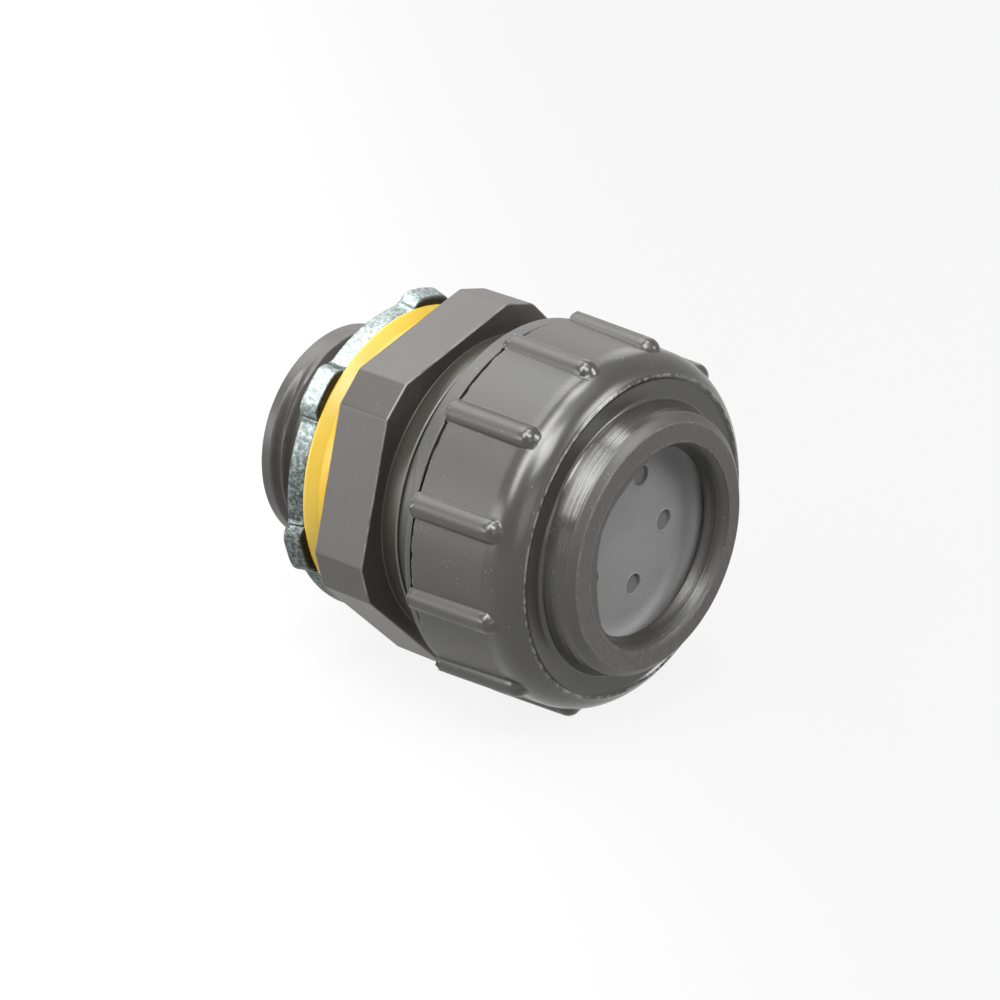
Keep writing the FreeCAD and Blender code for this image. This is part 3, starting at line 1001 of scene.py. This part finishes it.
def grommet_surface(sizes):
    """The grommet: a turned plug whose end faces sink where the cord holes are.

    A point of an end face moves along X by the hole's depth times a step that goes from 0 to 1
    as the distance to the nearest hole's middle falls through the hole's radius. At the front
    a low lip, a bell of that distance, runs round each dimple, and the skin bulges a little.
    """
    hole, circle = mm(sizes.hole_radius), mm(sizes.hole_circle)
    turn = math.degrees(sizes.hole_turn)
    holes, bored = 5, 17.6
    fine_from, fine_to = 5.3, 8.4
    corners = [
        (GROMMET_REAR, 0.25, 0.0),
        (GROMMET_REAR, fine_from, 0.0),
        (GROMMET_REAR, fine_to, 0.0),
        (GROMMET_REAR, 14.5, 0.25),
        (19.27, 14.5, 0.3),
        (22.27, 16.4, 0.3),
        (23.3, 16.4, 0.3),
        (23.3, 14.0, 0.25),
        (28.25, 14.0, 0.3),
        (28.25, 12.4, 0.3),
        (GROMMET_FACE, 10.4, 0.6),
        (GROMMET_FACE, fine_to, 0.0),
        (GROMMET_FACE, fine_from, 0.0),
        (GROMMET_FACE, 0.25, 0.0),
    ]
    stations, radii = contour(corners, 0.06, loop=False)
    fine = (radii > fine_from) & (radii < fine_to)
    face = (stations < GROMMET_REAR + 0.001) | (stations > GROMMET_FACE - 0.001)
    keep = sparse(~(fine & face), 9)
    keep[[0, -1]] = True
    stations, radii = stations[keep], radii[keep]
    offsets = np.concatenate([np.linspace(0.0, 1.35, 24), [1.5, 1.75]])
    columns = fan(holes, turn, np.degrees(offsets / circle), 22)
    around = np.radians(columns)[None, :]
    y, z = -radii[:, None] * np.sin(around), radii[:, None] * np.cos(around)
    nearest = np.full(y.shape, np.inf)
    for number in range(holes):
        at = math.radians(turn + TURN / holes * number)
        away = np.hypot(y + circle * math.sin(at), z - circle * math.cos(at))
        nearest = np.minimum(nearest, away)
    inside = 1.0 - smooth(hole - 0.05, hole + 0.03, nearest)
    lip = 0.07 * hump(nearest, hole + 0.1, 0.08)
    bulge = 0.03 * (nearest < hole - 0.1) * np.cos(np.clip(nearest / hole, 0.0, 1.0) * 1.5)
    front = (stations > GROMMET_FACE - 0.1)[:, None]
    rear = (stations < GROMMET_REAR + 0.01)[:, None]
    moved = np.where(front, -mm(sizes.dimple) * inside + lip + bulge, 0.0)
    moved = moved + np.where(rear, bored * inside, 0.0)
    return turned(stations[:, None] + moved, np.broadcast_to(radii[:, None], y.shape), columns)


class GRIP_OT_grommet(bpy.types.Operator):
    """Build the rubber grommet with its cord holes"""

    bl_idname = "grip.grommet"
    bl_label = "Grommet"

    def execute(self, context):
        scene = context.scene
        points = grommet_surface(scene.grip_grommet)
        poles = ((GROMMET_REAR, 0.0, 0.0), (GROMMET_FACE, 0.0, 0.0))
        piece = grid_object("rubber_grommet", points, poles)
        dress(piece, "body", "grommet", grey_rubber(scene.grip_colours))
        return {"FINISHED"}


def washer_surface():
    """The slip washer: a turned flat ring with rounded edges."""
    rear, front = 24.9, 26.0
    corners = [
        (rear, 14.25, 0.15),
        (rear, 17.6, 0.2),
        (front, 17.6, 0.2),
        (front, 14.25, 0.15),
    ]
    stations, radii = contour(corners, 0.5)
    return turned(stations, radii, np.arange(0.0, TURN, 2.0))


class GRIP_OT_slip_washer(bpy.types.Operator):
    """Build the slip washer inside the nut"""

    bl_idname = "grip.slip_washer"
    bl_label = "Slip washer"

    def execute(self, context):
        scene = context.scene
        piece = grid_object("nylon_washer", washer_surface())
        dress(piece, "washer", "slip_washer", white_nylon(scene.grip_colours))
        return {"FINISHED"}


# Stage


def panel_light(name, azimuth, elevation, size, radiance):
    """A soft rectangular lamp a metre from the grip's middle, facing it.

    Azimuth is in degrees from +X towards +Y, and the lamp's first side lies level. Its power
    is the radiance times pi times its area.
    """
    middle = Vector((0.01, 0.0, 0.0))
    lamp = bpy.data.lights.new(name, "AREA")
    lamp.shape = "RECTANGLE"
    lamp.size, lamp.size_y = size
    lamp.energy = radiance * math.pi * size[0] * size[1]
    around, above = math.radians(azimuth), math.radians(elevation)
    level = Vector((-math.sin(around), math.cos(around), 0.0))
    back = Vector((math.cos(around), math.sin(around), 0.0)) * math.cos(above)
    back.z = math.sin(above)
    holder = bpy.data.objects.new(name, lamp)
    holder.location = middle + back
    holder.rotation_euler = Matrix((level, back.cross(level), back)).transposed().to_euler()
    bpy.context.scene.collection.objects.link(holder)


def any_ray(graph, names):
    """1 for a ray of any of these kinds, and 0 for the light that falls on the object."""
    seen = [graph.node("ShaderNodeLightPath", output=name) for name in names]
    total = seen[0]
    for ray in seen[1:]:
        total = total.most(ray)
    return total


def pale_world(strength):
    """Even light all round, white to the camera and in reflections."""
    world = bpy.data.worlds.new("studio")
    bpy.context.scene.world = world
    graph = Graph(world)
    seen = any_ray(graph, ("Is Camera Ray", "Is Glossy Ray", "Is Transmission Ray"))
    inputs = {"Strength": seen * (1.0 - strength) + strength}
    graph.end(graph.node("ShaderNodeBackground", None, inputs), "ShaderNodeOutputWorld")


def white_floor(lightness):
    """A white sheet: near white to the camera and in reflections.

    The light that it throws on the object is stronger on the lamps' side.
    """
    graph = Graph(bpy.data.materials.new("white_sheet"))
    x, y, _ = graph.split(graph.place())
    side = graph.rise(x * 0.66 + y * 0.75, -0.05, 0.05, 1.0, 0.3)
    seen = any_ray(graph, ("Is Camera Ray", "Is Glossy Ray"))
    sheet = graph.shade((lightness, lightness, lightness), side)
    matt = graph.node("ShaderNodeBsdfDiffuse", None, {"Color": sheet})
    glow = graph.node("ShaderNodeEmission", None, {"Color": (1.0, 1.0, 1.0), "Strength": 1.0})
    return graph.end(graph.node("ShaderNodeMixShader", None, {0: seen * 0.88, 1: matt, 2: glow}))


# Each lamp's name, azimuth, elevation, size in metres and radiance.
LAMPS = (
    ("key_panel", 322.0, 52.0, (0.42, 0.4), 11.0),
    ("high_panel", 292.0, 62.0, (0.36, 0.36), 8.0),
    ("side_panel", 250.0, 52.0, (0.3, 0.38), 3.4),
    ("tall_strip", 260.0, 58.0, (0.26, 1.1), 9.5),
    ("zenith_panel", 123.0, 78.0, (0.3, 0.3), 9.0),
    ("edge_panel", 9.0, 15.0, (0.5, 0.1), 7.0),
    ("front_panel", 26.0, 30.0, (0.4, 0.38), 12.5),
    ("mouth_panel", 322.0, 14.0, (0.5, 0.4), 1.6),
    ("low_panel", 232.0, 10.0, (0.8, 0.34), 5.0),
    ("hub_panel", 175.0, 52.0, (0.8, 0.4), 5.2),
    ("top_panel", 0.0, 84.0, (0.8, 0.8), 1.2),
    ("rear_panel", 130.0, 25.0, (0.6, 0.5), 1.4),
)


FLOOR_REACH, FLOOR_GAP = 3.0, 0.0003
CAMERA_PLACE = (0.26995, -0.299, 0.18044)
CAMERA_AHEAD = Vector((-0.59765, 0.68509, -0.41648))


class GRIP_OT_stage(bpy.types.Operator):
    """Set up the floor, the lights and the camera"""

    bl_idname = "grip.stage"
    bl_label = "Stage"

    def execute(self, context):
        scene = context.scene
        stage = scene.grip_stage
        low = CAD_BOX[0][2] - FLOOR_GAP
        turns = ((-1.0, -1.0), (1.0, -1.0), (1.0, 1.0), (-1.0, 1.0))
        corners = [(x * FLOOR_REACH, y * FLOOR_REACH, low) for x, y in turns]
        sheet = bpy.data.meshes.new("floor")
        sheet.from_pydata(corners, [], [(0, 1, 2, 3)])
        floor = bpy.data.objects.new("floor", sheet)
        scene.collection.objects.link(floor)
        sheet.materials.append(white_floor(stage.sheet))
        for name, azimuth, elevation, size, radiance in LAMPS:
            panel_light(name, azimuth, elevation, size, radiance * stage.lamps)
        pale_world(stage.fill)
        camera = bpy.data.cameras.new("camera")
        camera.sensor_width = 36.0
        camera.sensor_fit = "HORIZONTAL"
        camera.lens = 137.35
        camera.clip_start = 0.01
        camera.clip_end = 20.0
        holder = bpy.data.objects.new("camera", camera)
        holder.location = CAMERA_PLACE
        holder.rotation_euler = CAMERA_AHEAD.to_track_quat("-Z", "Y").to_euler()
        scene.collection.objects.link(holder)
        scene.camera = holder
        scene.view_settings.view_transform = "Standard"
        return {"FINISHED"}


OPERATORS = (
    GRIP_OT_gland_body,
    GRIP_OT_sealing_ring,
    GRIP_OT_lock_nut,
    GRIP_OT_compression_nut,
    GRIP_OT_grommet,
    GRIP_OT_slip_washer,
    GRIP_OT_stage,
)


class GRIP_PT_panel(bpy.types.Panel):
    """Lists the pieces and their sizes"""

    bl_idname = "GRIP_PT_panel"
    bl_label = "Cord grip"
    bl_space_type = "VIEW_3D"
    bl_region_type = "UI"
    bl_category = "Cord grip"

    def draw(self, context):
        for name in GROUPS:
            box = self.layout.box()
            settings = getattr(context.scene, name)
            for key in settings.__annotations__:
                box.prop(settings, key)
        for operator in OPERATORS:
            self.layout.operator(operator.bl_idname)


CLASSES = (*GROUPS.values(), *OPERATORS, GRIP_PT_panel)


def register():
    """Register the classes, and give every scene the grip's sizes."""
    for item in CLASSES:
        bpy.utils.register_class(item)
    for name, group in GROUPS.items():
        setattr(bpy.types.Scene, name, bpy.props.PointerProperty(type=group))


def unregister():
    """Take the sizes and the classes out again."""
    for name in GROUPS:
        delattr(bpy.types.Scene, name)
    for item in reversed(CLASSES):
        bpy.utils.unregister_class(item)


def main():
    """Build every piece and the stage."""
    register()
    for operator in OPERATORS:
        group, name = operator.bl_idname.split(".")
        getattr(getattr(bpy.ops, group), name)()
    bpy.context.view_layer.update()


if __name__ == "__main__":
    main()
